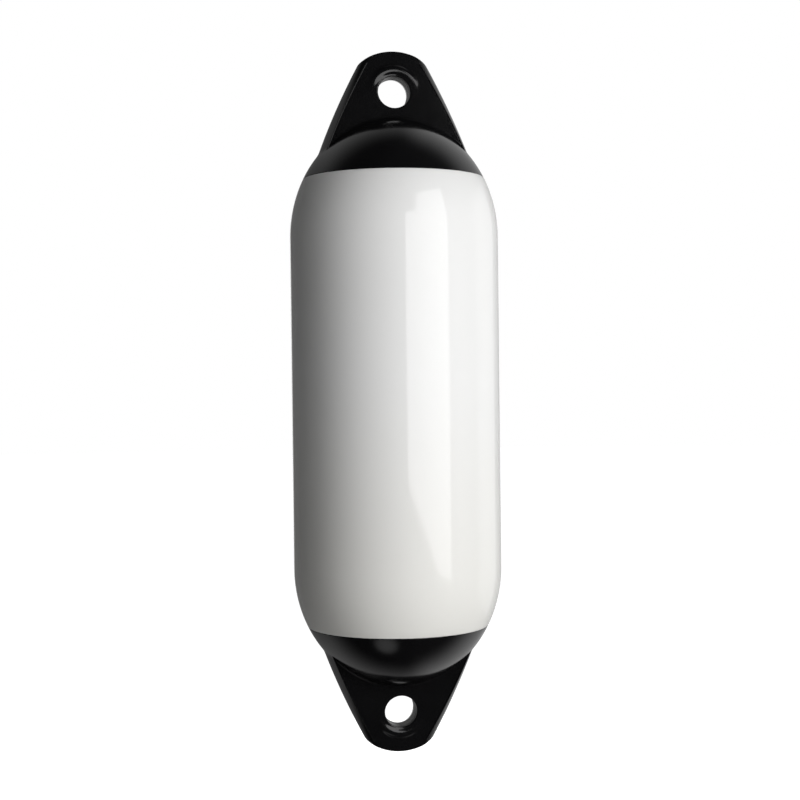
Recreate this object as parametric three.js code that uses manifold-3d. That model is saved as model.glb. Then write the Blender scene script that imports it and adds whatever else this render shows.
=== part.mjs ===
// A cylindrical inflatable boat fender: a white vinyl tube closed by two black moulded
// end caps, each with a rope eye, and an inflation valve at the back of the upper cap.
// Millimetres. +Z runs up the fender's axis, -Y is its front and +Y its back.
// The origin is the centre of the upper rope eye, from which the fender hangs.

import * as THREE from 'three';
import { mergeVertices } from 'three/addons/utils/BufferGeometryUtils.js';
import { ConvexGeometry } from 'three/addons/geometries/ConvexGeometry.js';
import Module from 'manifold-3d';

// Body: a straight tube whose two ends round off as half ellipses
const bodyRadius = 110;
const eyeToEye = 652;
const domeHeight = 126;
const apexToEye = 26;
const seamBelowApex = 64;
const shellWall = 3;

// Joint between the shell and a cap: the cap's spigot slides inside the shell
const capWall = 6.5;
const spigotLength = 18;
const fitClearance = 0.3;

// Lug: a tapered plate with a round tip, thickest where it meets the dome
const tipAboveEye = 44;
const tipRadius = 57;
const tipHalfWidth = 36;
const rootHalfWidth = 81.3;
const rootBelowEye = 70;
const flankBulge = 2.3;
const lugThicknessAtEye = 31;
const lugTaperDegrees = 9.8;
const faceInsetAtTip = 8.5;
const faceInsetAtRoot = 6;
const rootFilletRadius = 6;
const filletEndMargin = 6;
const filletBackDepth = 1.6;

// Rope eye: a round bore with a half-round lip, level with the lug's faces beside the eye
const eyeDiameter = 34;
const lipRadius = 6.5;
const boreRelief = 0.5;

// Inflation valve: a flanged insert, closed by a slotted screw on a sealing ring
const valveFromAxis = 62;
const flangeDiameter = 30;
const flangeThickness = 3;
const flangeProud = 1;
const stemDiameter = 18;
const stemLength = 22;
const valveBore = 7.6;
const screwPocketDiameter = 15;
const screwPocketDepth = 4.5;
const sealSection = 1.8;
const screwHeadProud = 0.4;
const screwPointLength = 2;
const screwPointDiameter = 4;
const screwLength = 18;
const slotWidth = 1.6;
const slotDepth = 1.3;

// Fineness of the round shapes
const bodySides = 56;
const eyeSides = 30;
const valveSides = 24;
const domeSteps = 6;
const shoulderSteps = 5;
const lipSteps = 6;
const tipSteps = 8;
const flankSteps = 4;
const filletSections = 10;
const filletSteps = 3;
const filletTrials = 40;
const spigotSteps = 2;
const sealSteps = 6;

const wasm = await Module();
wasm.setup();

// Heights on the upper half, measured from the upper eye
const apexZ = -apexToEye;
const domeBaseZ = apexZ - domeHeight;
const seamZ = apexZ - seamBelowApex;
const spigotEndZ = seamZ - spigotLength;
const middleZ = -eyeToEye / 2;
const lugTaper = Math.tan(THREE.MathUtils.degToRad(lugTaperDegrees));

// Every cutter runs this far past what it cuts
const overshoot = 5;

// Radius of the body at a height, with its skin set in by a wall
function bodyRadiusAt(z, wall) {
  const rise = Math.max(z - domeBaseZ, 0) / (domeHeight - wall);
  return (bodyRadius - wall) * Math.sqrt(Math.max(1 - rise * rise, 0));
}

// Points up the body's skin, closer together where the dome curves most
function bodySkin(fromZ, toZ, wall, steps) {
  const turnAt = (z) => Math.asin(Math.min((z - domeBaseZ) / (domeHeight - wall), 1));
  const points = [];
  for (let i = 0; i <= steps; i += 1) {
    const turn = THREE.MathUtils.lerp(turnAt(fromZ), turnAt(toZ), i / steps);
    const z = domeBaseZ + (domeHeight - wall) * Math.sin(turn);
    points.push(new THREE.Vector2(bodyRadiusAt(z, wall), z));
  }
  points[0].set(bodyRadiusAt(fromZ, wall), fromZ);
  points[steps].set(bodyRadiusAt(toZ, wall), toZ);
  return points;
}

// Points on a circular arc between two angles in degrees
function arcPoints(x, y, radius, fromDegrees, toDegrees, steps) {
  const points = [];
  for (let i = 0; i <= steps; i += 1) {
    const angle = THREE.MathUtils.degToRad(THREE.MathUtils.lerp(fromDegrees, toDegrees, i / steps));
    points.push(new THREE.Vector2(x + radius * Math.cos(angle), y + radius * Math.sin(angle)));
  }
  return points;
}

// A turned solid about +Z, from a profile of radius and height
function turned(profile, sides) {
  return new THREE.LatheGeometry(profile, sides).rotateX(Math.PI / 2);
}

// A closed profile ends on the point that it started from
function closed(profile) {
  return [...profile, profile[0].clone()];
}

function toSolid(geometry) {
  const bare = geometry.clone();
  bare.deleteAttribute('normal');
  bare.deleteAttribute('uv');
  const merged = mergeVertices(bare);
  const corners = [];
  for (let i = 0; i < merged.index.count; i += 3) {
    const [a, b, c] = [0, 1, 2].map((k) => merged.index.getX(i + k));
    if (a !== b && b !== c && c !== a) corners.push(a, b, c);
  }
  return new wasm.Manifold(new wasm.Mesh({
    numProp: 3,
    vertProperties: merged.attributes.position.array,
    triVerts: new Uint32Array(corners),
  }));
}

function toGeometry(solid) {
  const mesh = solid.getMesh();
  const geometry = new THREE.BufferGeometry();
  geometry.setAttribute('position', new THREE.BufferAttribute(mesh.vertProperties, 3));
  geometry.setIndex(new THREE.BufferAttribute(mesh.triVerts, 1));
  geometry.computeVertexNormals();
  return geometry;
}

// A closed solid through rings of points set along +X, each counter-clockwise seen from +X
function lofted(rings) {
  const size = rings[0].length;
  const index = [];
  for (let r = 0; r + 1 < rings.length; r += 1) {
    for (let i = 0; i < size; i += 1) {
      const [a, b] = [r * size + i, r * size + ((i + 1) % size)];
      index.push(a, b, b + size, a, b + size, a + size);
    }
  }
  const outline = rings[0].map((p) => new THREE.Vector2(p.y, p.z));
  const lastOutline = rings.at(-1).map((p) => new THREE.Vector2(p.y, p.z));
  const last = (rings.length - 1) * size;
  for (const [a, b, c] of THREE.ShapeUtils.triangulateShape(outline, [])) index.push(a, c, b);
  for (const [a, b, c] of THREE.ShapeUtils.triangulateShape(lastOutline, [])) {
    index.push(last + a, last + b, last + c);
  }
  const geometry = new THREE.BufferGeometry().setFromPoints(rings.flat());
  geometry.setIndex(index);
  return geometry;
}

// White shell: an open-ended tube of even wall, its ends cut square at the two seams
function bodyShellGeometry() {
  const outer = bodySkin(domeBaseZ, seamZ, 0, shoulderSteps);
  const inner = bodySkin(domeBaseZ, seamZ, shellWall, shoulderSteps);
  const mirrored = (points) => points.map((p) => new THREE.Vector2(p.x, 2 * middleZ - p.y));
  const profile = [
    ...mirrored(outer).reverse(),
    ...outer,
    ...inner.reverse(),
    ...mirrored(inner).reverse(),
  ];
  return turned(closed(profile), bodySides);
}

function lugHalfThickness(z) {
  return lugThicknessAtEye / 2 - z * lugTaper;
}

// Height where the lug's flanks end and its round tip begins
const tipCornerZ = tipAboveEye - tipRadius + Math.sqrt(tipRadius ** 2 - tipHalfWidth ** 2);

function flankHalfWidth(z) {
  const along = THREE.MathUtils.inverseLerp(-rootBelowEye, tipCornerZ, z);
  const chord = THREE.MathUtils.lerp(rootHalfWidth, tipHalfWidth, along);
  return chord + 4 * flankBulge * along * (1 - along);
}

// The two faces are narrower than the mid plane, so the flanks slope
function faceHalfWidth(z) {
  const inset = THREE.MathUtils.mapLinear(
    z, -rootBelowEye, tipAboveEye, faceInsetAtRoot, faceInsetAtTip);
  return flankHalfWidth(z) - inset;
}

// Half of the lug's outline: up the flank and round the tip to its middle
function lugHalfOutline() {
  const flank = [];
  for (let i = 0; i < flankSteps; i += 1) {
    const z = THREE.MathUtils.lerp(-rootBelowEye, tipCornerZ, i / flankSteps);
    flank.push(new THREE.Vector2(flankHalfWidth(z), z));
  }
  const cornerDegrees = THREE.MathUtils.radToDeg(Math.acos(tipHalfWidth / tipRadius));
  return [...flank, ...arcPoints(0, tipAboveEye - tipRadius, tipRadius, cornerDegrees, 90, tipSteps)];
}

function lugPlateGeometry() {
  const points = [];
  for (const { x: width, y: z } of lugHalfOutline()) {
    const faceWidth = Math.min(width, faceHalfWidth(z));
    for (const side of [-1, 1]) {
      points.push(new THREE.Vector3(side * width, 0, z));
      for (const face of [-1, 1]) {
        points.push(new THREE.Vector3(side * faceWidth, face * lugHalfThickness(z), z));
      }
    }
  }
  return new ConvexGeometry(points);
}

// Concave fillet in one upright plane x, between the lug's face and the dome below it.
// Its centre is found by halving: one radius off the dome and one radius off the face.
function rootFilletSection(x, radius) {
  const domeZ = (y) => domeBaseZ + domeHeight * Math.sqrt(1 - (x * x + y * y) / bodyRadius ** 2);
  const faceNormal = new THREE.Vector2(1, lugTaper).normalize();
  const domeNormalAt = (y) => new THREE.Vector2(
    y / bodyRadius ** 2, (domeZ(y) - domeBaseZ) / domeHeight ** 2).normalize();
  const centreAt = (y) => new THREE.Vector2(y, domeZ(y)).addScaledVector(domeNormalAt(y), radius);
  const faceDistance = (p) => (p.x - lugHalfThickness(p.y)) * faceNormal.x;
  const meeting = lugHalfThickness(domeZ(0));
  let [near, far] = [meeting - radius, meeting + 3 * radius];
  for (let i = 0; i < filletTrials; i += 1) {
    const trial = (near + far) / 2;
    if (faceDistance(centreAt(trial)) < radius) near = trial;
    else far = trial;
  }
  const centre = centreAt(near);
  const domeNormal = domeNormalAt(near);
  const degreesOf = (normal) => 180 + THREE.MathUtils.radToDeg(Math.atan2(normal.y, normal.x));
  const arc = arcPoints(
    centre.x, centre.y, radius, degreesOf(faceNormal), degreesOf(domeNormal), filletSteps);
  const [onFace, onDome] = [arc[0], arc.at(-1)];
  const insideFace = onFace.clone().addScaledVector(faceNormal, -filletBackDepth);
  const insideDome = onDome.clone().addScaledVector(domeNormal, -filletBackDepth);
  const cornerY = lugHalfThickness(onDome.y) - filletBackDepth;
  const insideCorner = new THREE.Vector2(cornerY, domeZ(cornerY) - filletBackDepth);
  const section = [insideFace, insideCorner, insideDome, ...arc.reverse()];
  return section.map((p) => new THREE.Vector3(x, p.x, p.y));
}

// The fillet follows the arch where lug and dome meet, and fades out towards the flanks
function rootFilletGeometry() {
  const faceEnd = faceHalfWidth(-rootBelowEye);
  const halfSpan = faceEnd - filletEndMargin;
  const sections = [];
  for (let i = 0; i <= filletSections; i += 1) {
    const x = THREE.MathUtils.lerp(-halfSpan, halfSpan, i / filletSections);
    const fade = Math.sqrt(1 - (x / faceEnd) ** 2);
    sections.push(rootFilletSection(x, rootFilletRadius * fade));
  }
  return lofted(sections);
}

// Lip of the rope eye: the tapered plate buries it towards the root and leaves it proud
// towards the tip
function eyeLipGeometry() {
  const crest = eyeDiameter / 2 + lipRadius;
  const shoulder = lugThicknessAtEye / 2 - lipRadius;
  const profile = [
    ...arcPoints(crest, -shoulder, lipRadius, -180, 0, lipSteps),
    ...arcPoints(crest, shoulder, lipRadius, 0, 180, lipSteps),
  ];
  return new THREE.LatheGeometry(closed(profile), eyeSides);
}

// Bore through the plate, a little wider than the lip, whose own bore is the eye
function eyeBoreGeometry() {
  const radius = eyeDiameter / 2 + boreRelief;
  const reach = lugHalfThickness(-radius) + overshoot;
  return new THREE.CylinderGeometry(radius, radius, 2 * reach, eyeSides);
}

// Dome of a cap, solid for now, with the spigot that enters the shell
function domeBlankGeometry() {
  const spigot = bodySkin(spigotEndZ, seamZ, shellWall + fitClearance, spigotSteps);
  const dome = bodySkin(seamZ, apexZ, 0, domeSteps);
  return turned([new THREE.Vector2(0, spigotEndZ), ...spigot, ...dome], bodySides);
}

function capHollowGeometry() {
  const fromZ = spigotEndZ - overshoot;
  const skin = bodySkin(fromZ, apexZ - capWall, capWall, domeSteps);
  return turned([new THREE.Vector2(0, fromZ), ...skin], bodySides);
}

// One cap, with its eye's centre at the origin and its tip up
function capSolid() {
  const frontFillet = toSolid(rootFilletGeometry());
  const backFillet = frontFillet.mirror([0, 1, 0]);
  return toSolid(domeBlankGeometry())
    .add(toSolid(lugPlateGeometry()))
    .add(frontFillet)
    .add(backFillet)
    .subtract(toSolid(capHollowGeometry()))
    .subtract(toSolid(eyeBoreGeometry()))
    .add(toSolid(eyeLipGeometry()));
}

// The valve stands square to the dome's skin, half way down the back of the upper cap
const valveZ = domeBaseZ + domeHeight * Math.sqrt(1 - (valveFromAxis / bodyRadius) ** 2);
const valveLean = Math.atan2(
  valveFromAxis / bodyRadius ** 2, (valveZ - domeBaseZ) / domeHeight ** 2);
const flangeSink = flangeThickness - flangeProud;

const valve = new THREE.Group();
valve.position.set(0, valveFromAxis, valveZ);
valve.rotation.x = -valveLean;
valve.updateMatrixWorld();

function valvePocketGeometry() {
  const stem = stemDiameter / 2 + fitClearance;
  const flange = flangeDiameter / 2 + fitClearance;
  const floorZ = -flangeSink - fitClearance;
  const profile = [
    new THREE.Vector2(0, -stemLength - overshoot),
    new THREE.Vector2(stem, -stemLength - overshoot),
    new THREE.Vector2(stem, floorZ),
    new THREE.Vector2(flange, floorZ),
    new THREE.Vector2(flange, overshoot),
    new THREE.Vector2(0, overshoot),
  ];
  return turned(profile, valveSides).applyMatrix4(valve.matrix);
}

// Valve body: a flange on a hollow stem, with a pocket for the screw's head
function valveBodyGeometry() {
  const [flange, stem, bore] = [flangeDiameter / 2, stemDiameter / 2, valveBore / 2];
  const pocket = screwPocketDiameter / 2;
  const pocketZ = flangeProud - screwPocketDepth;
  const profile = [
    new THREE.Vector2(bore, -stemLength),
    new THREE.Vector2(stem, -stemLength),
    new THREE.Vector2(stem, -flangeSink),
    new THREE.Vector2(flange, -flangeSink),
    new THREE.Vector2(flange, flangeProud),
    new THREE.Vector2(pocket, flangeProud),
    new THREE.Vector2(pocket, pocketZ),
    new THREE.Vector2(bore, pocketZ),
  ];
  return turned(closed(profile), valveSides);
}

// Heights of the seal and the screw's head above the floor of their pocket
const sealZ = flangeProud - screwPocketDepth + fitClearance + sealSection / 2;
const headUnderZ = sealZ + sealSection / 2 + fitClearance;
const sealRadius = (screwPocketDiameter - sealSection) / 2 - fitClearance;

function valveSealGeometry() {
  const section = arcPoints(sealRadius, sealZ, sealSection / 2, 0, 360, sealSteps);
  return turned(closed(section.slice(0, -1)), valveSides);
}

// Screw: a round slotted head on a shank that fills the valve's bore
function valveScrewGeometry() {
  const head = screwPocketDiameter / 2 - fitClearance;
  const shank = valveBore / 2 - fitClearance;
  const topZ = flangeProud + screwHeadProud;
  const endZ = topZ - screwLength;
  const profile = [
    new THREE.Vector2(0, endZ),
    new THREE.Vector2(screwPointDiameter / 2, endZ),
    new THREE.Vector2(shank, endZ + screwPointLength),
    new THREE.Vector2(shank, headUnderZ),
    new THREE.Vector2(head, headUnderZ),
    new THREE.Vector2(head, topZ),
    new THREE.Vector2(0, topZ),
  ];
  const slot = new THREE.BoxGeometry(3 * head, slotWidth, 2 * slotDepth).translate(0, 0, topZ);
  return toGeometry(toSolid(turned(profile, valveSides)).subtract(toSolid(slot)));
}

function piece(name, geometry, material) {
  const mesh = new THREE.Mesh(geometry, material);
  mesh.name = name;
  return mesh;
}

const whiteVinyl = new THREE.MeshStandardMaterial({ color: 0xeeeeec, roughness: 0.22, metalness: 0 });
const blackVinyl = new THREE.MeshStandardMaterial({ color: 0x0e0e0f, roughness: 0.36, metalness: 0 });
const valvePlastic = new THREE.MeshStandardMaterial({ color: 0x1a1b1c, roughness: 0.45, metalness: 0 });
const sealRubber = new THREE.MeshStandardMaterial({ color: 0x101010, roughness: 0.7, metalness: 0 });
const screwPlastic = new THREE.MeshStandardMaterial({ color: 0x232425, roughness: 0.4, metalness: 0 });

const fender = new THREE.Group();
fender.add(piece('body_shell', bodyShellGeometry(), whiteVinyl));

const cap = capSolid();
const upperCap = cap.subtract(toSolid(valvePocketGeometry()));
fender.add(piece('upper_end_cap', toGeometry(upperCap), blackVinyl));

const lowerCap = piece('lower_end_cap', toGeometry(cap), blackVinyl);
lowerCap.position.z = -eyeToEye;
lowerCap.rotation.y = Math.PI;
fender.add(lowerCap);

valve.add(piece('valve_body', valveBodyGeometry(), valvePlastic));
valve.add(piece('valve_seal', valveSealGeometry(), sealRubber));
valve.add(piece('valve_screw', valveScrewGeometry(), screwPlastic));
fender.add(valve);

export default fender;
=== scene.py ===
import math

import bmesh
import bpy
import numpy as np
import openvdb as vdb
from mathutils import Matrix, Quaternion, Vector


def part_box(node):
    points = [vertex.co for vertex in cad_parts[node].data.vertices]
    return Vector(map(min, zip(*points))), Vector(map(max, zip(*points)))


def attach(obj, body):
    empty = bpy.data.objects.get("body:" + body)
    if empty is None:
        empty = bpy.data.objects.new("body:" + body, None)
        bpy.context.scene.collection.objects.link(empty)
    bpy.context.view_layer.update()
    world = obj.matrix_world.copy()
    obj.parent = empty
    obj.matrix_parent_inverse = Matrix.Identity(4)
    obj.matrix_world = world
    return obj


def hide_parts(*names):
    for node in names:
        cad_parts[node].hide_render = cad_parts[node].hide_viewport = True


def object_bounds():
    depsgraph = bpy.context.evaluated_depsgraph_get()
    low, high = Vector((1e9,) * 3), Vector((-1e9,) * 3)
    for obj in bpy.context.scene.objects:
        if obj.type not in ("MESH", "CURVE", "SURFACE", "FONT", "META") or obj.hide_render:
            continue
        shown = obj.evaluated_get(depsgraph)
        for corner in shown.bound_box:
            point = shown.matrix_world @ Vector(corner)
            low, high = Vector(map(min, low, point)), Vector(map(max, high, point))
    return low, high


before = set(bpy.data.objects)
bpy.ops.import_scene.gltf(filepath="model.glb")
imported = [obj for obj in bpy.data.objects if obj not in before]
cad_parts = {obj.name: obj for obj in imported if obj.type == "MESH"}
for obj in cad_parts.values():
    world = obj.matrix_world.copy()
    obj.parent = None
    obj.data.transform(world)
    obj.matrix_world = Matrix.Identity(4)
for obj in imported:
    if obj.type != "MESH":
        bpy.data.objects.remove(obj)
cadLow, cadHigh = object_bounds()

mm = 0.001
shellLow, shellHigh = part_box("body_shell")
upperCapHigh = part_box("upper_end_cap")[1]
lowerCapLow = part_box("lower_end_cap")[0]
bodyRadius = shellHigh.x / mm
seamZ = shellHigh.z / mm
tipZ = upperCapHigh.z / mm
eyeToEye = (tipZ - lowerCapLow.z / mm) - 2 * tipZ


# Camera, at the photograph's place, a little left of the lug's own front; in m and degrees, lens in mm
cameraSetup = {
    "azimuth": -8.0,
    "distance": 1.682,
    "eyeLevel": -0.300,
    "aimZ": -0.3235,
    "aimRight": 0.0046,
    "rollDegrees": -0.65,
    "lens": 71.3,
}


def makeCamera():
    turn = math.radians(cameraSetup["azimuth"])
    reach = cameraSetup["distance"]
    place = Vector((math.sin(turn) * reach, -math.cos(turn) * reach, cameraSetup["eyeLevel"]))
    right = Vector((math.cos(turn), math.sin(turn), 0))
    aim = Vector((0, 0, cameraSetup["aimZ"])) + right * cameraSetup["aimRight"]
    look = (aim - place).to_track_quat("-Z", "Y")
    roll = Quaternion((0, 0, 1), math.radians(cameraSetup["rollDegrees"]))
    data = bpy.data.cameras.new("photoCamera")
    data.lens = cameraSetup["lens"]
    camera = bpy.data.objects.new("photoCamera", data)
    camera.location = place
    camera.rotation_mode = "QUATERNION"
    camera.rotation_quaternion = look @ roll
    bpy.context.scene.collection.objects.link(camera)
    bpy.context.scene.camera = camera
    bpy.context.scene.view_settings.view_transform = "Standard"


# Adds a node, sets its properties, then fills or links its inputs; a node stands for its first output
def addNode(tree, kind, settings=None, inputs=None):
    node = tree.nodes.new(kind)
    for name, value in (settings or {}).items():
        setattr(node, name, value)
    for key, value in (inputs or {}).items():
        if isinstance(value, bpy.types.Node):
            value = value.outputs[0]
        if isinstance(value, bpy.types.NodeSocket):
            tree.links.new(value, node.inputs[key])
        else:
            node.inputs[key].default_value = value
    return node


def linearColour(hexText):
    parts = [int(hexText[i:i + 2], 16) / 255 for i in (1, 3, 5)]
    return [c / 12.92 if c <= 0.04045 else ((c + 0.055) / 1.055) ** 2.4 for c in parts] + [1.0]


# Finishes
whiteFinish = {
    "colour": "#f0f0ef",
    # Painted light: a warm tint of the lamps, painted into the lower part of the vinyl; the vinyl itself is
    # one colour
    "paintedLightTint": "#edece7",
    "paintedTintFrom": 0.45,
    "roughness": 0.055,
    "ior": 1.53,
    "peelSize": 2.4,
    "peelHeight": 0.012,
}

blackFinish = {
    "colour": "#0a0a0b",
    "bloomColour": "#121213",
    "roughness": 0.15,
    "roughnessSwing": 0.04,
    "ior": 1.53,
    "grainSize": 1.0,
    "grainHeight": 0.009,
    "patchSize": 38.0,
    "patchRange": (0.3, 0.7),
}

valveFinish = {
    "colour": "#1b1c1d",
    "roughness": 0.42,
    "ior": 1.53,
    "grainSize": 0.5,
    "grainHeight": 0.012,
}

sealFinish = {
    "colour": "#101010",
    "roughness": 0.7,
    "ior": 1.52,
    "grainSize": 0.4,
    "grainHeight": 0.01,
}

screwFinish = {
    "colour": "#242527",
    "roughness": 0.38,
    "ior": 1.53,
    "turningPitch": 2.83,
    "turningWander": 0.2,
    "turningHeight": 0.01,
}


def startMaterial(name):
    material = bpy.data.materials.new(name)
    material.use_nodes = True
    tree = material.node_tree
    tree.nodes.clear()
    place = addNode(tree, "ShaderNodeTexCoord").outputs["Object"]
    return material, tree, place


# Glossy white vinyl, rotationally moulded: a wet-looking skin with the faintest orange peel
def makeWhiteVinyl():
    look = whiteFinish
    material, tree, place = startMaterial("glossyWhiteVinyl")
    split = addNode(tree, "ShaderNodeSeparateXYZ", {}, {0: place})
    # Painted light: the base colour turns to the warm light tint from here down to the lower seam
    paintedTintFrom = shellHigh.z + (shellLow.z - shellHigh.z) * look["paintedTintFrom"]
    paintedTintShare = addNode(tree, "ShaderNodeMapRange", {}, {
        "Value": split.outputs["Z"], "From Min": paintedTintFrom, "From Max": shellLow.z})
    tint = addNode(tree, "ShaderNodeMix", {"data_type": "RGBA"}, {
        0: paintedTintShare, 6: linearColour(look["colour"]), 7: linearColour(look["paintedLightTint"])})
    peel = addNode(tree, "ShaderNodeTexNoise", {}, {
        "Vector": place, "Scale": 1 / (look["peelSize"] * mm), "Detail": 1.0})
    bump = addNode(tree, "ShaderNodeBump", {}, {
        "Height": peel, "Distance": look["peelHeight"] * mm, "Strength": 1.0})
    shader = addNode(tree, "ShaderNodeBsdfPrincipled", {}, {
        "Base Color": tint.outputs[2], "Roughness": look["roughness"], "IOR": look["ior"],
        "Normal": bump})
    addNode(tree, "ShaderNodeOutputMaterial", {}, {"Surface": shader})
    return material


# Semi-gloss black vinyl, moulded in a grained tool: dark, with a soft broad sheen and duller patches; the
# real grain is too fine to show, so it is drawn coarser
def makeBlackVinyl():
    look = blackFinish
    patchLow, patchHigh = look["patchRange"]
    material, tree, place = startMaterial("semiGlossBlackVinyl")
    patch = addNode(tree, "ShaderNodeTexNoise", {}, {
        "Vector": place, "Scale": 1 / (look["patchSize"] * mm), "Detail": 2.0})
    tint = addNode(tree, "ShaderNodeMix", {"data_type": "RGBA"}, {
        0: patch, 6: linearColour(look["colour"]), 7: linearColour(look["bloomColour"])})
    gloss = addNode(tree, "ShaderNodeMapRange", {}, {
        "Value": patch, "From Min": patchLow, "From Max": patchHigh,
        "To Min": look["roughness"] - look["roughnessSwing"] / 2,
        "To Max": look["roughness"] + look["roughnessSwing"] / 2})
    grain = addNode(tree, "ShaderNodeTexNoise", {}, {
        "Vector": place, "Scale": 1 / (look["grainSize"] * mm), "Detail": 2.0})
    bump = addNode(tree, "ShaderNodeBump", {}, {
        "Height": grain, "Distance": look["grainHeight"] * mm, "Strength": 1.0})
    shader = addNode(tree, "ShaderNodeBsdfPrincipled", {}, {
        "Base Color": tint.outputs[2], "Roughness": gloss, "IOR": look["ior"],
        "Normal": bump})
    addNode(tree, "ShaderNodeOutputMaterial", {}, {"Surface": shader})
    return material


# Moulded nylon or rubber with an even grain: a dull, dry sheen; the grain is drawn coarser than it is
def makeGrained(name, look):
    material, tree, place = startMaterial(name)
    grain = addNode(tree, "ShaderNodeTexNoise", {}, {
        "Vector": place, "Scale": 1 / (look["grainSize"] * mm), "Detail": 2.0})
    bump = addNode(tree, "ShaderNodeBump", {}, {
        "Height": grain, "Distance": look["grainHeight"] * mm, "Strength": 1.0})
    shader = addNode(tree, "ShaderNodeBsdfPrincipled", {}, {
        "Base Color": linearColour(look["colour"]), "Roughness": look["roughness"],
        "IOR": look["ior"], "Normal": bump})
    addNode(tree, "ShaderNodeOutputMaterial", {}, {"Surface": shader})
    return material


# Turned nylon: shallow rings round the screw's own axis, which break the sheen on its head; a lathe leaves
# them too fine to show, so they are drawn coarser
def makeTurnedNylon(toScrew):
    look = screwFinish
    waveRate = 20.0  # radians of ring in a metre, in a wave texture of scale 1
    material, tree, place = startMaterial("turnedNylon")
    turned = addNode(tree, "ShaderNodeMapping", {}, {
        "Vector": place, "Location": toScrew.to_translation(), "Rotation": toScrew.to_euler()})
    rings = addNode(tree, "ShaderNodeTexWave", {"wave_type": "RINGS", "rings_direction": "Z"}, {
        "Vector": turned, "Scale": math.tau / waveRate / (look["turningPitch"] * mm),
        "Distortion": look["turningWander"]})
    bump = addNode(tree, "ShaderNodeBump", {}, {
        "Height": rings.outputs["Fac"], "Distance": look["turningHeight"] * mm, "Strength": 1.0})
    shader = addNode(tree, "ShaderNodeBsdfPrincipled", {}, {
        "Base Color": linearColour(look["colour"]), "Roughness": look["roughness"],
        "IOR": look["ior"], "Normal": bump})
    addNode(tree, "ShaderNodeOutputMaterial", {}, {"Surface": shader})
    return material


def addObject(name, mesh):
    made = bpy.data.objects.new(name, mesh)
    bpy.context.scene.collection.objects.link(made)
    return made


def meshFrom(shape, name):
    mesh = bpy.data.meshes.new(name)
    shape.to_mesh(mesh)
    shape.free()
    return mesh


# Makes the faces of one closed skin point outwards
def fixNormals(mesh):
    shape = bmesh.new()
    shape.from_mesh(mesh)
    bmesh.ops.recalc_face_normals(shape, faces=shape.faces)
    if shape.calc_volume(signed=True) < 0:
        bmesh.ops.reverse_faces(shape, faces=shape.faces)
    shape.to_mesh(mesh)
    shape.free()


# Mesh of a closed shape, its faces smooth and outwards
def closedMesh(shape, name):
    for face in shape.faces:
        face.smooth = True
    mesh = meshFrom(shape, name)
    fixNormals(mesh)
    return mesh


# Turns what the modifiers give into the object's plain mesh and takes the modifiers off
def applyModifiers(piece):
    bpy.context.view_layer.update()
    depsgraph = bpy.context.evaluated_depsgraph_get()
    mesh = bpy.data.meshes.new_from_object(piece.evaluated_get(depsgraph), depsgraph=depsgraph)
    piece.modifiers.clear()
    piece.data = mesh
    return mesh


# White shell: a straight tube with half-ellipse shoulders, cut square at the two seams
shellForm = {
    "Sides": 192,
    "Rows": 300,
    "Dome Height": 126.0,
    "Shoulder": 62.0,
    "Wall": 3.0,
    "Skin Share": 0.48,
    "Wave Size": 95.0,
    "Wave Height": 0.10,
    "Wave From": 0.38,
    "weldDistance": 0.01,
    "rimRadius": 0.5,
    "rimSteps": 2,
    "sharpDegrees": 40.0,
}


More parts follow.
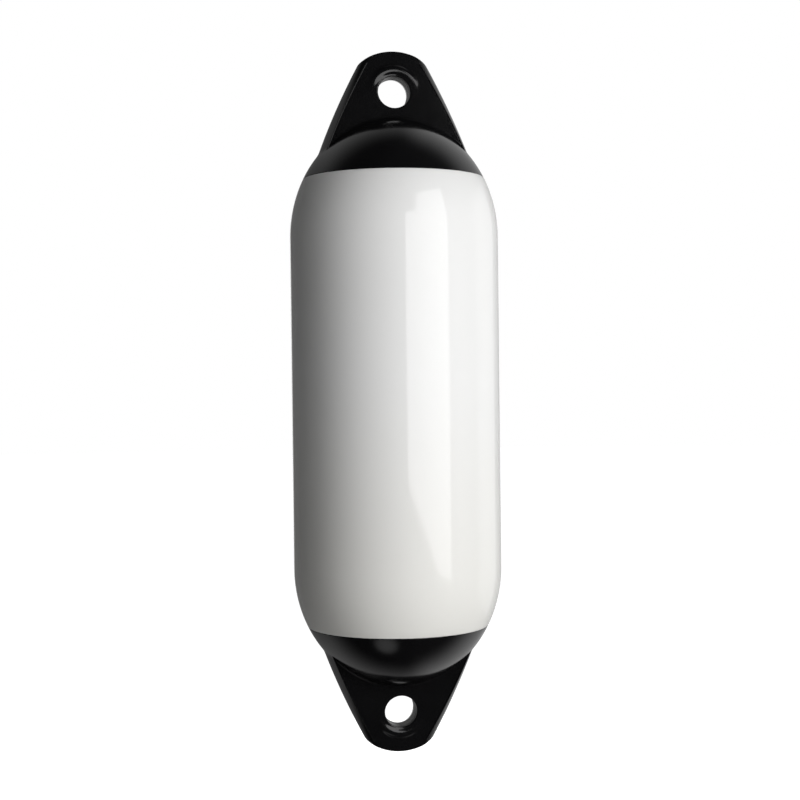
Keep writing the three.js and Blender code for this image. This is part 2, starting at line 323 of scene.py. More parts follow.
def shellTree(material):
    tree = bpy.data.node_groups.new("shellByRule", "GeometryNodeTree")
    face = tree.interface
    face.new_socket("Geometry", in_out="OUTPUT", socket_type="NodeSocketGeometry")
    for name in ("Sides", "Rows"):
        face.new_socket(name, in_out="INPUT", socket_type="NodeSocketInt")
    for name in ("Radius", "Low", "High", "Shoulder", "Dome Height", "Wall", "Skin Share",
                 "Wave Size", "Wave Height", "Wave From"):
        face.new_socket(name, in_out="INPUT", socket_type="NodeSocketFloat")
    given = addNode(tree, "NodeGroupInput").outputs

    columns = addNode(tree, "ShaderNodeMath", {"operation": "ADD"}, {0: given["Sides"], 1: 1.0})
    rows = addNode(tree, "ShaderNodeMath", {"operation": "ADD"}, {0: given["Rows"], 1: 1.0})
    grid = addNode(tree, "GeometryNodeMeshGrid", {}, {
        "Size X": 1.0, "Size Y": 1.0, "Vertices X": columns, "Vertices Y": rows})
    position = addNode(tree, "GeometryNodeInputPosition")
    split = addNode(tree, "ShaderNodeSeparateXYZ", {}, {0: position})
    turn = addNode(tree, "ShaderNodeMath", {"operation": "MULTIPLY"}, {
        0: split.outputs["X"], 1: math.tau})
    cosine = addNode(tree, "ShaderNodeMath", {"operation": "COSINE"}, {0: turn})
    sine = addNode(tree, "ShaderNodeMath", {"operation": "SINE"}, {0: turn})

    # Once round the wall: up the outside, over the rim, down the inside and back under the other rim
    skin = given["Skin Share"]
    course = addNode(tree, "ShaderNodeMath", {"operation": "ADD"}, {0: split.outputs["Y"], 1: 0.5})
    skinBack = addNode(tree, "ShaderNodeMath", {"operation": "ADD"}, {0: skin, 1: 0.5})
    up = addNode(tree, "ShaderNodeMapRange", {}, {
        "Value": course, "From Min": 0.0, "From Max": skin})
    inward = addNode(tree, "ShaderNodeMapRange", {}, {
        "Value": course, "From Min": skin, "From Max": 0.5})
    down = addNode(tree, "ShaderNodeMapRange", {}, {
        "Value": course, "From Min": 0.5, "From Max": skinBack})
    outward = addNode(tree, "ShaderNodeMapRange", {}, {
        "Value": course, "From Min": skinBack, "From Max": 1.0})
    climb = addNode(tree, "ShaderNodeMath", {"operation": "SUBTRACT"}, {0: up, 1: down})
    depth = addNode(tree, "ShaderNodeMath", {"operation": "SUBTRACT"}, {0: inward, 1: outward})
    length = addNode(tree, "ShaderNodeMath", {"operation": "SUBTRACT"}, {
        0: given["High"], 1: given["Low"]})
    height = addNode(tree, "ShaderNodeMath", {"operation": "MULTIPLY_ADD"}, {
        0: climb, 1: length, 2: given["Low"]})
    wall = addNode(tree, "ShaderNodeMath", {"operation": "MULTIPLY"}, {0: depth, 1: given["Wall"]})

    # Radius at that height: full on the straight part, a half ellipse beyond it
    half = addNode(tree, "ShaderNodeMath", {"operation": "MULTIPLY"}, {0: length, 1: 0.5})
    middle = addNode(tree, "ShaderNodeMath", {"operation": "ADD"}, {0: given["Low"], 1: half})
    offset = addNode(tree, "ShaderNodeMath", {"operation": "SUBTRACT"}, {0: height, 1: middle})
    away = addNode(tree, "ShaderNodeMath", {"operation": "ABSOLUTE"}, {0: offset})
    straight = addNode(tree, "ShaderNodeMath", {"operation": "SUBTRACT"}, {
        0: half, 1: given["Shoulder"]})
    beyond = addNode(tree, "ShaderNodeMath", {"operation": "SUBTRACT"}, {0: away, 1: straight})
    past = addNode(tree, "ShaderNodeMath", {"operation": "MAXIMUM"}, {0: beyond, 1: 0.0})
    crown = addNode(tree, "ShaderNodeMath", {"operation": "SUBTRACT"}, {
        0: given["Dome Height"], 1: wall})
    rise = addNode(tree, "ShaderNodeMath", {"operation": "DIVIDE"}, {0: past, 1: crown})
    square = addNode(tree, "ShaderNodeMath", {"operation": "MULTIPLY"}, {0: rise, 1: rise})
    rest = addNode(tree, "ShaderNodeMath", {"operation": "SUBTRACT"}, {0: 1.0, 1: square})
    slim = addNode(tree, "ShaderNodeMath", {"operation": "SQRT"}, {0: rest})
    full = addNode(tree, "ShaderNodeMath", {"operation": "SUBTRACT"}, {
        0: given["Radius"], 1: wall})
    even = addNode(tree, "ShaderNodeMath", {"operation": "MULTIPLY"}, {0: full, 1: slim})

    # The blown skin isn't quite even: a slow wave, which dies out at the seams
    around = addNode(tree, "ShaderNodeCombineXYZ", {}, {0: cosine, 1: sine})
    circle = addNode(tree, "ShaderNodeVectorMath", {"operation": "SCALE"}, {
        0: around, "Scale": given["Radius"]})
    upright = addNode(tree, "ShaderNodeCombineXYZ", {}, {2: height})
    spot = addNode(tree, "ShaderNodeVectorMath", {"operation": "ADD"}, {0: circle, 1: upright})
    pitch = addNode(tree, "ShaderNodeMath", {"operation": "DIVIDE"}, {0: 1.0, 1: given["Wave Size"]})
    wave = addNode(tree, "ShaderNodeTexNoise", {"noise_dimensions": "3D"}, {
        "Vector": spot, "Scale": pitch, "Detail": 0.0})
    waveEnd = addNode(tree, "ShaderNodeMath", {"operation": "MULTIPLY"}, {
        0: length, 1: given["Wave From"]})
    calm = addNode(tree, "ShaderNodeMapRange", {}, {
        "Value": away, "From Min": half, "From Max": waveEnd})
    swing = addNode(tree, "ShaderNodeMapRange", {}, {"Value": wave, "To Min": -1.0, "To Max": 1.0})
    swell = addNode(tree, "ShaderNodeMath", {"operation": "MULTIPLY"}, {0: swing, 1: calm})
    radius = addNode(tree, "ShaderNodeMath", {"operation": "MULTIPLY_ADD"}, {
        0: swell, 1: given["Wave Height"], 2: even})

    ring = addNode(tree, "ShaderNodeVectorMath", {"operation": "SCALE"}, {0: around, "Scale": radius})
    place = addNode(tree, "ShaderNodeVectorMath", {"operation": "ADD"}, {0: ring, 1: upright})
    metres = addNode(tree, "ShaderNodeVectorMath", {"operation": "SCALE"}, {0: place, "Scale": mm})
    placed = addNode(tree, "GeometryNodeSetPosition", {}, {"Geometry": grid, "Position": metres})
    merged = addNode(tree, "GeometryNodeMergeByDistance", {}, {
        "Geometry": placed, "Distance": shellForm["weldDistance"] * mm})
    smooth = addNode(tree, "GeometryNodeSetShadeSmooth", {}, {"Geometry": merged})
    real = addNode(tree, "GeometryNodeRealizeInstances", {}, {"Geometry": smooth})
    painted = addNode(tree, "GeometryNodeSetMaterial", {}, {"Geometry": real, "Material": material})
    addNode(tree, "NodeGroupOutput", {}, {0: painted})
    return tree


def makeShell(material):
    piece = addObject("whiteShell", bpy.data.meshes.new("whiteShell"))
    tree = shellTree(material)
    rule = piece.modifiers.new("shellByRule", "NODES")
    rule.node_group = tree
    sizes = dict(shellForm, Radius=bodyRadius, Low=shellLow.z / mm, High=shellHigh.z / mm)
    for socket in tree.interface.items_tree:
        if socket.in_out == "INPUT":
            rule[socket.identifier] = sizes[socket.name]
    rim = piece.modifiers.new("rim", "BEVEL")
    rim.width = shellForm["rimRadius"] * mm
    rim.segments = shellForm["rimSteps"]
    rim.limit_method = "ANGLE"
    rim.angle_limit = math.radians(shellForm["sharpDegrees"])
    mesh = applyModifiers(piece)
    fixNormals(mesh)
    mesh.set_sharp_from_angle(angle=math.radians(shellForm["sharpDegrees"]))
    print("white shell:", len(mesh.polygons), "faces")
    return piece


# End cap, mm, from its eye's centre with the tip up: dome, tapered lug and lipped eye, one moulding
capForm = {
    "domeHeight": 126.0,
    "apex": -26.0,
    "wall": 6.5,
    "spigotLength": 18.0,
    "spigotInset": 3.3,
    "rimRadius": 0.5,
    "rimSteps": 3,
    "tipRadius": 57.0,
    "tipHalfWidth": 36.0,
    "rootHalfWidth": 81.3,
    "rootBelowEye": 70.0,
    "flankBulge": 2.3,
    "halfThicknessAtEye": 15.5,
    "taperDegrees": 9.8,
    "faceInsetAtTip": 8.5,
    "faceInsetAtRoot": 6.0,
    "flankCurve": 2.2,
    "flankCurveEnd": 1.5,
    "edgeBlend": 1.0,
    "cornerBlend": 1.0,
    "rootBlend": 2.0,
    "rootBlendAtFlank": 1.2,
    "rootBlendReach": 72.0,
    "eyeRadius": 17.0,
    "mouthBlend": 1.4,
    "lipRadius": 6.5,
    "lipBlend": 1.2,
    "lipSink": 1.4,
    "beadRadius": 0.8,
    "beadSides": 12,
    "beadSteps": 60,
    "beadSink": 2.0,
    "beadSinkRise": 0.5,
    "step": 1.1,
    "skirt": 10.0,
    "headroom": 4.0,
    "bandSteps": 3,
    "pullPasses": 5,
    "midSoftness": 0.01,
    "weldDistance": 1e-4,
    "spigotRings": 4,
    "spigotChamfer": 1.0,
    "cavityRings": 14,
    "sharpDegrees": 40.0,
    "skinTolerance": 0.02,
    "normalAgreement": 0.8,
}


def smoothMin(a, b, blend):
    part = np.clip(0.5 + 0.5 * (b - a) / blend, 0, 1)
    return b + (a - b) * part - blend * part * (1 - part)


def smoothMax(a, b, blend):
    return -smoothMin(-a, -b, blend)


# Half of the lug's thickness, of its width, and how far its faces stay in from its flanks, by height
def lugHalf(z):
    return capForm["halfThicknessAtEye"] - z * math.tan(math.radians(capForm["taperDegrees"]))


def lugReach(z):
    form = capForm
    along = (z + form["rootBelowEye"]) / (cornerHeight() + form["rootBelowEye"])
    return (form["rootHalfWidth"] * (1 - along) + form["tipHalfWidth"] * along
            + 4 * form["flankBulge"] * along * (1 - along))


def faceInset(z):
    form = capForm
    along = (z + form["rootBelowEye"]) / (tipZ + form["rootBelowEye"])
    return form["faceInsetAtRoot"] * (1 - along) + form["faceInsetAtTip"] * along


# Height of the two corners where the flanks meet the round tip
def cornerHeight():
    radius = capForm["tipRadius"]
    return tipZ - radius + math.sqrt(radius ** 2 - capForm["tipHalfWidth"] ** 2)


# Signed distance to the moulding's outer skin: negative inside
def capDistance(x, y, z):
    form = capForm
    depth = np.sqrt(y * y + form["midSoftness"] ** 2)

    base = form["apex"] - form["domeHeight"]
    reach = (x * x + y * y) / bodyRadius ** 2
    rise = (z - base) / form["domeHeight"]
    level = np.sqrt(reach + rise * rise)
    steepness = np.sqrt(reach / bodyRadius ** 2 + (rise / form["domeHeight"]) ** 2)
    dome = level * (level - 1) / steepness

    half = lugHalf(z)
    lugFace = (depth - half) * math.cos(math.radians(form["taperDegrees"]))
    inset = faceInset(z)
    lean = (form["rootHalfWidth"] - form["tipHalfWidth"]) / (cornerHeight() + form["rootBelowEye"])
    steep = np.sqrt(1 + lean ** 2 + (inset / half) ** 2)
    outwardness = np.clip(depth / half, 0, form["flankCurveEnd"]) ** form["flankCurve"]
    flank = (np.abs(x) - lugReach(z) + inset * outwardness) / steep
    tipRadius = form["tipRadius"]
    tipCentre = tipZ - tipRadius
    tip = np.sqrt(x * x + (np.maximum(z, 0) - tipCentre) ** 2) - tipRadius + np.minimum(z, 0)
    outline = smoothMax(flank, tip, form["cornerBlend"])
    lug = smoothMax(outline, lugFace, form["edgeBlend"])

    fade = np.clip(1 - (x / form["rootBlendReach"]) ** 2, 0, 1)
    rootBlend = form["rootBlendAtFlank"] + (form["rootBlend"] - form["rootBlendAtFlank"]) * fade
    solid = smoothMin(dome, lug, rootBlend)

    ring = np.sqrt(x * x + z * z)
    solid = smoothMax(solid, form["eyeRadius"] - ring, form["mouthBlend"])
    lipRadius = form["lipRadius"]
    past = np.maximum(depth - form["halfThicknessAtEye"] + form["lipSink"] + lipRadius, 0)
    lip = np.sqrt((ring - form["eyeRadius"] - lipRadius) ** 2 + past ** 2) - lipRadius
    return smoothMin(solid, lip, form["lipBlend"])


def slopeOf(points):
    small = 0.02
    steps = np.eye(3) * small
    return np.stack([(capDistance(*(points + s).T) - capDistance(*(points - s).T)) / (2 * small)
                     for s in steps], axis=1)


# Outer skin as quads, one step of the grid apart, then pulled exactly onto the form
def capSkin():
    step = capForm["step"]
    reach = bodyRadius
    low = np.array([-reach, -reach, seamZ - capForm["skirt"]])
    high = np.array([reach, reach, tipZ + capForm["headroom"]])
    axes = [np.arange(a, b, step) for a, b in zip(low, high)]
    field = capDistance(axes[0][:, None, None], axes[1][None, :, None], axes[2][None, None, :])
    band = capForm["bandSteps"] * step
    grid = vdb.FloatGrid(band)
    grid.copyFromArray(np.clip(field, -band, band).astype(np.float32))
    points, quads = grid.convertToQuads()
    points = np.asarray(points, float) * step + low
    for _ in range(capForm["pullPasses"]):
        slope = slopeOf(points)
        miss = capDistance(*points.T) / (slope ** 2).sum(1)
        points = points - np.clip(miss, -step, step)[:, None] * slope
    return points, np.asarray(quads)


def skinRadius(z, wall):
    base = capForm["apex"] - capForm["domeHeight"]
    rise = (z - base) / (capForm["domeHeight"] - wall)
    return (bodyRadius - wall) * math.sqrt(max(1 - rise * rise, 0))


# Rings from the cut edge inwards: rim, shoulder, spigot, and the hollow up to its pole
def capRings():
    form = capForm
    rim = form["rimRadius"]
    spigotEnd = seamZ - form["spigotLength"]
    wall = form["wall"]
    rings = []
    for i in range(1, form["rimSteps"] + 1):
        turn = math.pi / 2 * i / form["rimSteps"]
        z = seamZ + rim * (1 - math.sin(turn))
        rings.append((skinRadius(seamZ + rim, 0) - rim * (1 - math.cos(turn)), z))
    chamfer = form["spigotChamfer"]
    for z in np.linspace(seamZ, spigotEnd + chamfer, form["spigotRings"]):
        rings.append((skinRadius(z, form["spigotInset"]), z))
    rings.append((skinRadius(spigotEnd, form["spigotInset"]) - chamfer, spigotEnd))
    rings.append((skinRadius(spigotEnd, wall), spigotEnd))
    base = form["apex"] - form["domeHeight"]
    crown = form["domeHeight"] - wall
    start = math.asin((spigotEnd - base) / crown)
    for i in range(1, form["cavityRings"]):
        turn = start + (math.pi / 2 - start) * i / form["cavityRings"]
        z = base + crown * math.sin(turn)
        rings.append((skinRadius(z, wall), z))
    return rings, base + crown


def makeCapMesh():
    points, quads = capSkin()
    shape = bmesh.new()
    corners = [shape.verts.new(p) for p in points]
    for quad in quads:
        shape.faces.new([corners[i] for i in quad])
    cutZ = seamZ + capForm["rimRadius"]
    everything = shape.verts[:] + shape.edges[:] + shape.faces[:]
    bmesh.ops.bisect_plane(shape, geom=everything, dist=capForm["weldDistance"],
                           plane_co=(0, 0, cutZ), plane_no=(0, 0, -1), clear_outer=True)
    loose = [v for v in shape.verts if not v.link_faces]
    bmesh.ops.delete(shape, geom=loose, context="VERTS")
    edge = [v for v in shape.verts if v.is_boundary]
    edge.sort(key=lambda v: math.atan2(v.co.y, v.co.x))
    turns = [math.atan2(v.co.y, v.co.x) for v in edge]
    rings, crownZ = capRings()
    count = len(edge)
    for radius, z in rings:
        ring = [shape.verts.new((radius * math.cos(t), radius * math.sin(t), z)) for t in turns]
        for i in range(count):
            j = (i + 1) % count
            shape.faces.new((edge[i], edge[j], ring[j], ring[i]))
        edge = ring
    pole = shape.verts.new((0, 0, crownZ))
    for i in range(count):
        shape.faces.new((edge[i], edge[(i + 1) % count], pole))
    mesh = closedMesh(shape, "endCap")
    print("end cap:", len(mesh.polygons), "faces, cut edge of", count, "corners")
    return mesh


# Fine raised line that the mould leaves where each lug face meets a flank; its ends run into the solid
def edgeBeads():
    form = capForm
    shape = bmesh.new()
    root = -form["rootBelowEye"]
    for side in (-1, 1):
        for front in (-1, 1):
            path = []
            for z in np.linspace(root, cornerHeight(), form["beadSteps"]):
                path.append(Vector((side * (lugReach(z) - faceInset(z)), front * lugHalf(z), z)))
            while math.hypot(path[-1].x, path[-1].z - tipZ + form["tipRadius"]) > form["tipRadius"]:
                path.pop()
            outwards = Vector((side, front, form["beadSinkRise"]))
            path.append(path[-1] - outwards * form["beadSink"])
            rows = []
            for i, here in enumerate(path):
                along = (path[min(i + 1, len(path) - 1)] - path[max(i - 1, 0)]).normalized()
                out = along.cross(Vector((0, 1, 0))).normalized()
                up = along.cross(out)
                row = []
                for k in range(form["beadSides"]):
                    turn = math.tau * k / form["beadSides"]
                    spoke = out * math.cos(turn) + up * math.sin(turn)
                    row.append(shape.verts.new(here + spoke * form["beadRadius"]))
                rows.append(row)
            for a, b in zip(rows, rows[1:]):
                for i in range(form["beadSides"]):
                    shape.faces.new((a[i - 1], a[i], b[i], b[i - 1]))
            shape.faces.new(rows[0])
            shape.faces.new(rows[-1])
    return closedMesh(shape, "edgeBeads")


# Gives the skin the form's own normals, so that light runs clean over the tight edges
def setExactNormals(mesh):
    mesh.set_sharp_from_angle(angle=math.radians(capForm["sharpDegrees"]))
    points = np.zeros(len(mesh.vertices) * 3)
    mesh.vertices.foreach_get("co", points)
    points = points.reshape(-1, 3)
    above = points[:, 2] > seamZ + capForm["rimRadius"]
    onSkin = above & (np.abs(capDistance(*points.T)) < capForm["skinTolerance"])
    exact = slopeOf(points)
    exact /= np.linalg.norm(exact, axis=1)[:, None]
    cornerVertex = np.zeros(len(mesh.loops), int)
    mesh.loops.foreach_get("vertex_index", cornerVertex)
    normals = np.zeros(len(mesh.loops) * 3)
    mesh.corner_normals.foreach_get("vector", normals)
    normals = normals.reshape(-1, 3)
    wanted = exact[cornerVertex]
    near = (wanted * normals).sum(1) > capForm["normalAgreement"]
    use = onSkin[cornerVertex] & near
    normals[use] = wanted[use]
    mesh.normals_split_custom_set(normals.tolist())


def makeCap(name, mesh, place, material):
    piece = addObject(name, mesh)
    mesh.transform(place @ Matrix.Scale(mm, 4))
    mesh.materials.clear()
    mesh.materials.append(material)
    return piece


# Valve, mm, from the middle of its flange where the dome's skin would be, standing along +Z
valveForm = {
    "fromAxis": 62.0,
    "flangeRadius": 15.0,
    "flangeThickness": 3.0,
    "flangeProud": 1.0,
    "stemRadius": 9.0,
    "stemLength": 22.0,
    "boreRadius": 3.8,
    "pocketRadius": 7.5,
    "pocketDepth": 4.5,
    "clearance": 0.3,
    "sealSection": 1.8,
    "headProud": 0.4,
    "screwLength": 18.0,
    "pointLength": 2.0,
    "pointRadius": 2.0,
    "slotWidth": 1.6,
    "slotDepth": 1.3,
    "edgeRadius": 0.5,
    "edgeSteps": 4,
    "edgeShare": 0.45,
    "sides": 128,
    "sealSteps": 20,
    "cutDepth": 40.0,
    "cutRise": 8.0,
}


# Rounds each inner corner of a profile, as a mould or a lathe tool leaves it
def roundedProfile(corners, closed):
    radius = valveForm["edgeRadius"]
    steps = valveForm["edgeSteps"]
    count = len(corners)
    made = []
    for i, corner in enumerate(corners):
        if not closed and i in (0, count - 1):
            made.append(corner)
            continue
        here = Vector(corner)
        before = Vector(corners[i - 1]) - here
        after = Vector(corners[(i + 1) % count]) - here
        room = min(before.length, after.length) * valveForm["edgeShare"]
        size = min(radius, room)
        start = here + before.normalized() * size
        end = here + after.normalized() * size
        for k in range(steps + 1):
            t = k / steps
            made.append(tuple(start * (1 - t) ** 2 + here * 2 * t * (1 - t) + end * t * t))
    return made


# A turned piece about +Z; a profile that isn't closed starts and ends on the axis
def turnedMesh(name, profile, closed):
    sides = valveForm["sides"]
    shape = bmesh.new()
    rows = []
    for radius, z in profile:
        if radius == 0:
            rows.append([shape.verts.new((0, 0, z))])
            continue
        turns = [math.tau * i / sides for i in range(sides)]
        rows.append([shape.verts.new((radius * math.cos(t), radius * math.sin(t), z)) for t in turns])
    pairs = list(zip(rows, rows[1:]))
    if closed:
        pairs.append((rows[-1], rows[0]))
    for a, b in pairs:
        for i in range(sides):
            j = (i + 1) % sides
            ringA = (a[0],) if len(a) == 1 else (a[i], a[j])
            ringB = (b[0],) if len(b) == 1 else (b[j], b[i])
            shape.faces.new(ringA + ringB)
    return closedMesh(shape, name)


def valvePlace():
    form = valveForm
    height = capForm["domeHeight"]
    out = form["fromAxis"]
    rise = height * math.sqrt(1 - (out / bodyRadius) ** 2)
    lean = math.atan2(out / bodyRadius ** 2, rise / height ** 2)
    z = capForm["apex"] - height + rise
    return Matrix.Translation((0, out, z)) @ Matrix.Rotation(-lean, 4, "X")


def pocketCutter():
    form = valveForm
    stem = form["stemRadius"] + form["clearance"]
    flange = form["flangeRadius"] + form["clearance"]
    floorZ = form["flangeProud"] - form["flangeThickness"] - form["clearance"]
    deep = -form["cutDepth"]
    rise = form["cutRise"]
    profile = [(0, deep), (stem, deep), (stem, floorZ), (flange, floorZ), (flange, rise), (0, rise)]
    return turnedMesh("pocketCutter", profile, False)


def valveBodyProfile():
    form = valveForm
    top = form["flangeProud"]
    under = top - form["flangeThickness"]
    pocketZ = top - form["pocketDepth"]
    return [
        (form["boreRadius"], -form["stemLength"]), (form["stemRadius"], -form["stemLength"]),
        (form["stemRadius"], under), (form["flangeRadius"], under), (form["flangeRadius"], top),
        (form["pocketRadius"], top), (form["pocketRadius"], pocketZ), (form["boreRadius"], pocketZ),
    ]


def sealProfile():
    form = valveForm
    section = form["sealSection"] / 2
    radius = form["pocketRadius"] - section - form["clearance"]
    z = form["flangeProud"] - form["pocketDepth"] + form["clearance"] + section
    turns = [math.tau * i / form["sealSteps"] for i in range(form["sealSteps"])]
    return [(radius + section * math.cos(t), z + section * math.sin(t)) for t in turns]


def screwProfile():
    form = valveForm
    head = form["pocketRadius"] - form["clearance"]
    shank = form["boreRadius"] - form["clearance"]
    top = form["flangeProud"] + form["headProud"]
    end = top - form["screwLength"]
    under = (form["flangeProud"] - form["pocketDepth"] + 2 * form["clearance"]
             + form["sealSection"])
    return [(0, end), (form["pointRadius"], end), (shank, end + form["pointLength"]),
            (shank, under), (head, under), (head, top), (0, top)]


def slotCutter():
    form = valveForm
    top = form["flangeProud"] + form["headProud"]
    shape = bmesh.new()
    bmesh.ops.create_cube(shape, size=1.0)
    size = (4 * form["pocketRadius"], form["slotWidth"], 2 * form["slotDepth"])
    bmesh.ops.scale(shape, vec=size, verts=shape.verts)
    bmesh.ops.translate(shape, vec=(0, 0, top), verts=shape.verts)
    return meshFrom(shape, "slotCutter")


# Cuts one closed mesh out of another, or adds it, and hands back the plain result
def joinMesh(name, mesh, cutter, operation):
    whole = addObject(name, mesh)
    tool = addObject(name + "Tool", cutter)
    join = whole.modifiers.new("join", "BOOLEAN")
    join.operation = operation
    join.solver = "MANIFOLD"
    join.object = tool
    made = applyModifiers(whole)
    bpy.data.objects.remove(tool)
    bpy.data.objects.remove(whole)
    return made


def makeValvePiece(name, mesh, material):
    mesh.set_sharp_from_angle(angle=math.radians(capForm["sharpDegrees"]))
    mesh.transform(Matrix.Scale(mm, 4) @ valvePlace())
    mesh.materials.clear()
    mesh.materials.append(material)
    return addObject(name, mesh)


# Stage and light, m; the share of white that each part of the room shows to matt or mirroring surfaces
stageSetup = {
    "floorZ": -1.0,
    "floorRadius": 14.0,
    "floorSides": 96,
    "floorColour": "#a8a8a8",
    "floorGlow": 0.80,
    "nearEdge": 0.5,
    "farEdge": 1.15,
    "softRoom": 0.01,
    "softFront": 0.12,
    "softBack": 0.50,
    "mirrorFront": 0.012,
    "mirrorBack": 0.13,
    "mirrorHigh": 0.18,
    "mirrorRight": 0.38,
    "glowBelow": 0.6,
    "glowDirection": (-0.23, -0.31, -0.92),
}

# Key panel: its edges at four azimuths from the camera, in degrees, and their heights from the upper eye
keyPanel = {
    "azimuths": (12.0, 24.0, 28.0, 59.0),
    "bottoms": (-0.51, -0.575, -0.595, -0.76),
    "tops": (0.36, 0.40, 0.95, 1.0),
    "distance": 1.6,
    "steps": 47,
    "radiance": 2.25,
}

# Softboxes by azimuth from the camera; lift is from the fender's middle
softboxes = {
    "side": {"azimuth": 118.0, "distance": 1.9, "lift": 0.0, "width": 1.3, "height": 2.0,
             "radiance": 0.55, "mirrored": True},
    "fill": {"azimuth": 35.0, "distance": 1.5, "lift": 0.1, "width": 1.12, "height": 1.46,
             "radiance": 2.45, "mirrored": False},
    "backFill": {"azimuth": 180.0, "distance": 1.6, "lift": 0.3, "width": 1.0, "height": 1.8,
                 "radiance": 3.0, "mirrored": False},
}


def makeFloor():
    setup = stageSetup
    shape = bmesh.new()
    bmesh.ops.create_circle(shape, cap_ends=True, segments=setup["floorSides"],
                            radius=setup["floorRadius"])
    bmesh.ops.translate(shape, vec=(0, 0, setup["floorZ"]), verts=shape.verts)
    mesh = meshFrom(shape, "floor")
    floor = addObject("floor", mesh)

    # Matt pale floor that holds the shadow, white to looking rays; reflections see the room through it
    material, tree, place = startMaterial("paleFloor")
    flat = addNode(tree, "ShaderNodeVectorMath", {"operation": "MULTIPLY"}, {0: place, 1: (1, 1, 0)})
    distance = addNode(tree, "ShaderNodeVectorMath", {"operation": "LENGTH"}, {0: flat})
    glow = addNode(tree, "ShaderNodeMapRange", {"interpolation_type": "SMOOTHSTEP"}, {
        "Value": distance.outputs["Value"], "From Min": setup["nearEdge"],
        "From Max": setup["farEdge"], "To Min": setup["floorGlow"]})
    path = addNode(tree, "ShaderNodeLightPath")
    seen = addNode(tree, "ShaderNodeMath", {"operation": "MULTIPLY"}, {
        0: path.outputs["Is Camera Ray"], 1: glow})
    matt = addNode(tree, "ShaderNodeBsdfDiffuse", {}, {"Color": linearColour(setup["floorColour"])})
    ground = addNode(tree, "ShaderNodeEmission", {}, {"Color": (1, 1, 1, 1), "Strength": seen})
    both = addNode(tree, "ShaderNodeAddShader", {}, {0: matt, 1: ground})
    clear = addNode(tree, "ShaderNodeBsdfTransparent")
    floorLook = addNode(tree, "ShaderNodeMixShader", {}, {
        0: path.outputs["Is Glossy Ray"], 1: both, 2: clear})
    addNode(tree, "ShaderNodeOutputMaterial", {}, {"Surface": floorLook})
    mesh.materials.append(material)


# World: white to the camera; reflections see white straight behind in a dim room, lighter on the right and
# with one glow from below, and matt surfaces get a little light from the front and the back
def makeWorld():
    setup = stageSetup
    world = bpy.data.worlds.new("studio")
    bpy.context.scene.world = world
    world.use_nodes = True
    tree = world.node_tree
    tree.nodes.clear()
    direction = addNode(tree, "ShaderNodeTexCoord").outputs["Generated"]
    split = addNode(tree, "ShaderNodeSeparateXYZ", {}, {0: direction})
    height = addNode(tree, "ShaderNodeMath", {"operation": "ABSOLUTE"}, {0: split.outputs["Z"]})
    path = addNode(tree, "ShaderNodeLightPath")

    below = addNode(tree, "ShaderNodeVectorMath", {"operation": "DOT_PRODUCT"}, {
        0: direction, 1: setup["glowDirection"]})

    # Each zone of the room: the value it goes by, where it starts, where it is full, and how light it is
    zones = {
        "high": (height, 0.3, 0.7, setup["mirrorHigh"]),
        "back": (split.outputs["Y"], 0.0, 0.6, 1.0),
        "rightSide": (split.outputs["X"], 0.1, 0.4, setup["mirrorRight"]),
        "rightBack": (split.outputs["Y"], -0.15, 0.35, 1.0),
        "behind": (split.outputs["Y"], 0.975, 0.992, 1.0),
        "below": (below.outputs["Value"], 0.972, 0.998, setup["glowBelow"]),
        "softFront": (split.outputs["Y"], -0.86, -0.97, setup["softFront"]),
        "softBack": (split.outputs["Y"], 0.25, 0.6, setup["softBack"]),
    }
    zone = {}
    for name, (value, start, full, light) in zones.items():
        zone[name] = addNode(tree, "ShaderNodeMapRange", {"interpolation_type": "SMOOTHSTEP"}, {
            "Value": value, "From Min": start, "From Max": full, "To Max": light})
    wall = addNode(tree, "ShaderNodeMath", {"operation": "ADD"}, {
        0: zone["high"], 1: setup["mirrorBack"]})
    back = addNode(tree, "ShaderNodeMath", {"operation": "MULTIPLY_ADD"}, {
        0: zone["back"], 1: wall, 2: setup["mirrorFront"]})
    room = addNode(tree, "ShaderNodeMath", {"operation": "MULTIPLY_ADD"}, {
        0: zone["rightSide"], 1: zone["rightBack"], 2: back})
    lit = addNode(tree, "ShaderNodeMath", {"operation": "MAXIMUM"}, {0: room, 1: zone["behind"]})
    mirrored = addNode(tree, "ShaderNodeMath", {"operation": "MAXIMUM"}, {0: lit, 1: zone["below"]})
    ends = addNode(tree, "ShaderNodeMath", {"operation": "ADD"}, {
        0: zone["softFront"], 1: zone["softBack"]})
    soft = addNode(tree, "ShaderNodeMath", {"operation": "ADD"}, {0: ends, 1: setup["softRoom"]})
    isMirrored = addNode(tree, "ShaderNodeMath", {"operation": "MAXIMUM"}, {
        0: path.outputs["Is Glossy Ray"], 1: path.outputs["Is Transmission Ray"]})
    unseen = addNode(tree, "ShaderNodeMix", {"data_type": "FLOAT"}, {0: isMirrored, 2: soft, 3: mirrored})
    strength = addNode(tree, "ShaderNodeMix", {"data_type": "FLOAT"}, {
        0: path.outputs["Is Camera Ray"], 2: unseen, 3: 1.0})
    ground = addNode(tree, "ShaderNodeBackground", {}, {"Color": (1, 1, 1, 1), "Strength": strength})
    addNode(tree, "ShaderNodeOutputWorld", {}, {0: ground})


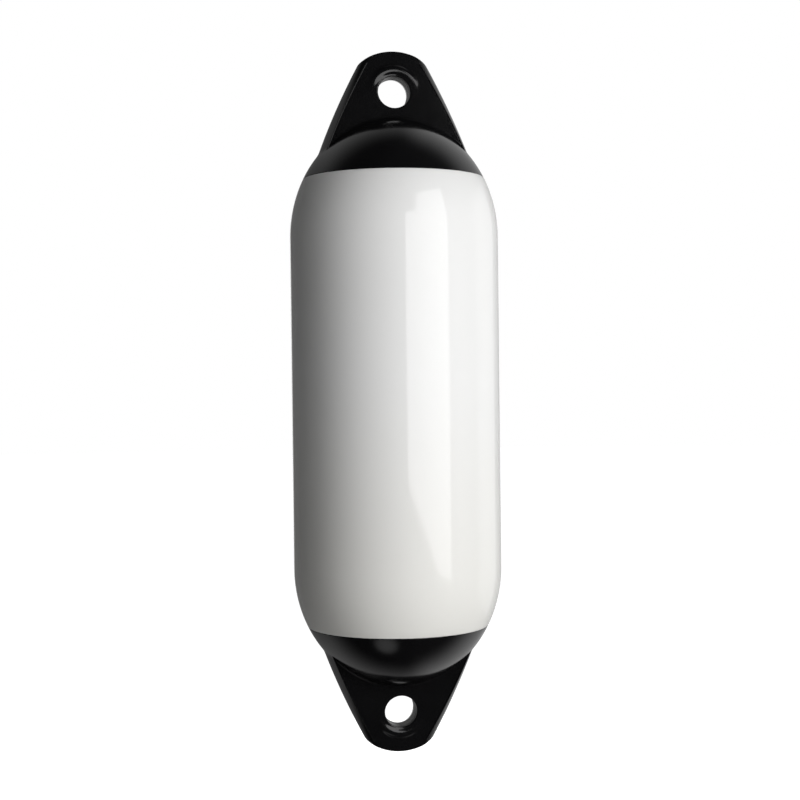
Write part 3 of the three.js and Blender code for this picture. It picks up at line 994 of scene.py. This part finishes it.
# Curved key softbox, lower at its left so that the lug's face doesn't mirror it, with a slanted lower edge;
# its reflection is the long highlight on the body
def makeKeyPanel():
    panel = keyPanel
    shape = bmesh.new()
    rows = []
    for azimuth in np.linspace(panel["azimuths"][0], panel["azimuths"][-1], panel["steps"] + 1):
        turn = math.radians(azimuth + cameraSetup["azimuth"])
        foot = Vector((math.sin(turn), -math.cos(turn), 0)) * panel["distance"]
        bottom = np.interp(azimuth, panel["azimuths"], panel["bottoms"])
        top = np.interp(azimuth, panel["azimuths"], panel["tops"])
        rows.append([shape.verts.new(foot + Vector((0, 0, z))) for z in (bottom, top)])
    for a, b in zip(rows, rows[1:]):
        shape.faces.new((a[0], b[0], b[1], a[1]))
    mesh = meshFrom(shape, "keyPanel")
    material, tree, _ = startMaterial("litSoftboxCloth")
    cloth = addNode(tree, "ShaderNodeEmission", {}, {"Strength": panel["radiance"]})
    addNode(tree, "ShaderNodeOutputMaterial", {}, {"Surface": cloth})
    mesh.materials.append(material)
    lamp = addObject("keyPanel", mesh)
    lamp.visible_camera = False
    lamp.visible_shadow = False


def makeSoftbox(name, box):
    turn = math.radians(box["azimuth"] + cameraSetup["azimuth"])
    away = Vector((math.sin(turn), -math.cos(turn), 0))
    middle = Vector((0, 0, (cadLow.z + cadHigh.z) / 2 + box["lift"]))
    data = bpy.data.lights.new(name, "AREA")
    data.shape = "RECTANGLE"
    data.size = box["width"]
    data.size_y = box["height"]
    data.energy = box["radiance"] * math.pi * box["width"] * box["height"]
    lamp = bpy.data.objects.new(name, data)
    lamp.location = middle + away * box["distance"]
    lamp.rotation_mode = "QUATERNION"
    lamp.rotation_quaternion = (-away).to_track_quat("-Z", "Y")
    lamp.visible_camera = False
    lamp.visible_glossy = box["mirrored"]
    bpy.context.scene.collection.objects.link(lamp)


makeCamera()
whiteVinyl = makeWhiteVinyl()
blackVinyl = makeBlackVinyl()
valveNylon = makeGrained("mouldedNylon", valveFinish)
sealRubber = makeGrained("sealRubber", sealFinish)
screwNylon = makeTurnedNylon((Matrix.Scale(mm, 4) @ valvePlace() @ Matrix.Scale(1 / mm, 4)).inverted())
print("finishes made")

shell = makeShell(whiteVinyl)

capMesh = makeCapMesh()
pocket = pocketCutter()
pocket.transform(valvePlace())
capMesh = joinMesh("beadedCap", capMesh, edgeBeads(), "UNION")
upperMesh = joinMesh("upperCut", capMesh.copy(), pocket, "DIFFERENCE")
setExactNormals(capMesh)
setExactNormals(upperMesh)
upperCap = makeCap("upperEndCap", upperMesh, Matrix.Identity(4), blackVinyl)
turnedOver = Matrix.Translation((0, 0, -eyeToEye * mm)) @ Matrix.Rotation(math.pi, 4, "Y")
lowerCap = makeCap("lowerEndCap", capMesh, turnedOver, blackVinyl)
print("end caps made")

bodyMesh = turnedMesh("valveBody", roundedProfile(valveBodyProfile(), True), True)
valveBody = makeValvePiece("valveBody", bodyMesh, valveNylon)
sealMesh = turnedMesh("valveSeal", sealProfile(), True)
valveSeal = makeValvePiece("valveSeal", sealMesh, sealRubber)
blankMesh = turnedMesh("screwBlank", roundedProfile(screwProfile(), False), False)
screwMesh = joinMesh("screwCut", blankMesh, slotCutter(), "DIFFERENCE")
valveScrew = makeValvePiece("valveScrew", screwMesh, screwNylon)
print("valve made")

pieces = {
    "body_shell": (shell, "white_vinyl"),
    "upper_end_cap": (upperCap, "black_vinyl"),
    "lower_end_cap": (lowerCap, "black_vinyl"),
    "valve_body": (valveBody, "valve_plastic"),
    "valve_seal": (valveSeal, "seal_rubber"),
    "valve_screw": (valveScrew, "screw_plastic"),
}
for node, (piece, finish) in pieces.items():
    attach(piece, "root")
    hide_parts(node)

makeFloor()
makeWorld()
makeKeyPanel()
for name, box in softboxes.items():
    makeSoftbox(name, box)
print("stage and light set")
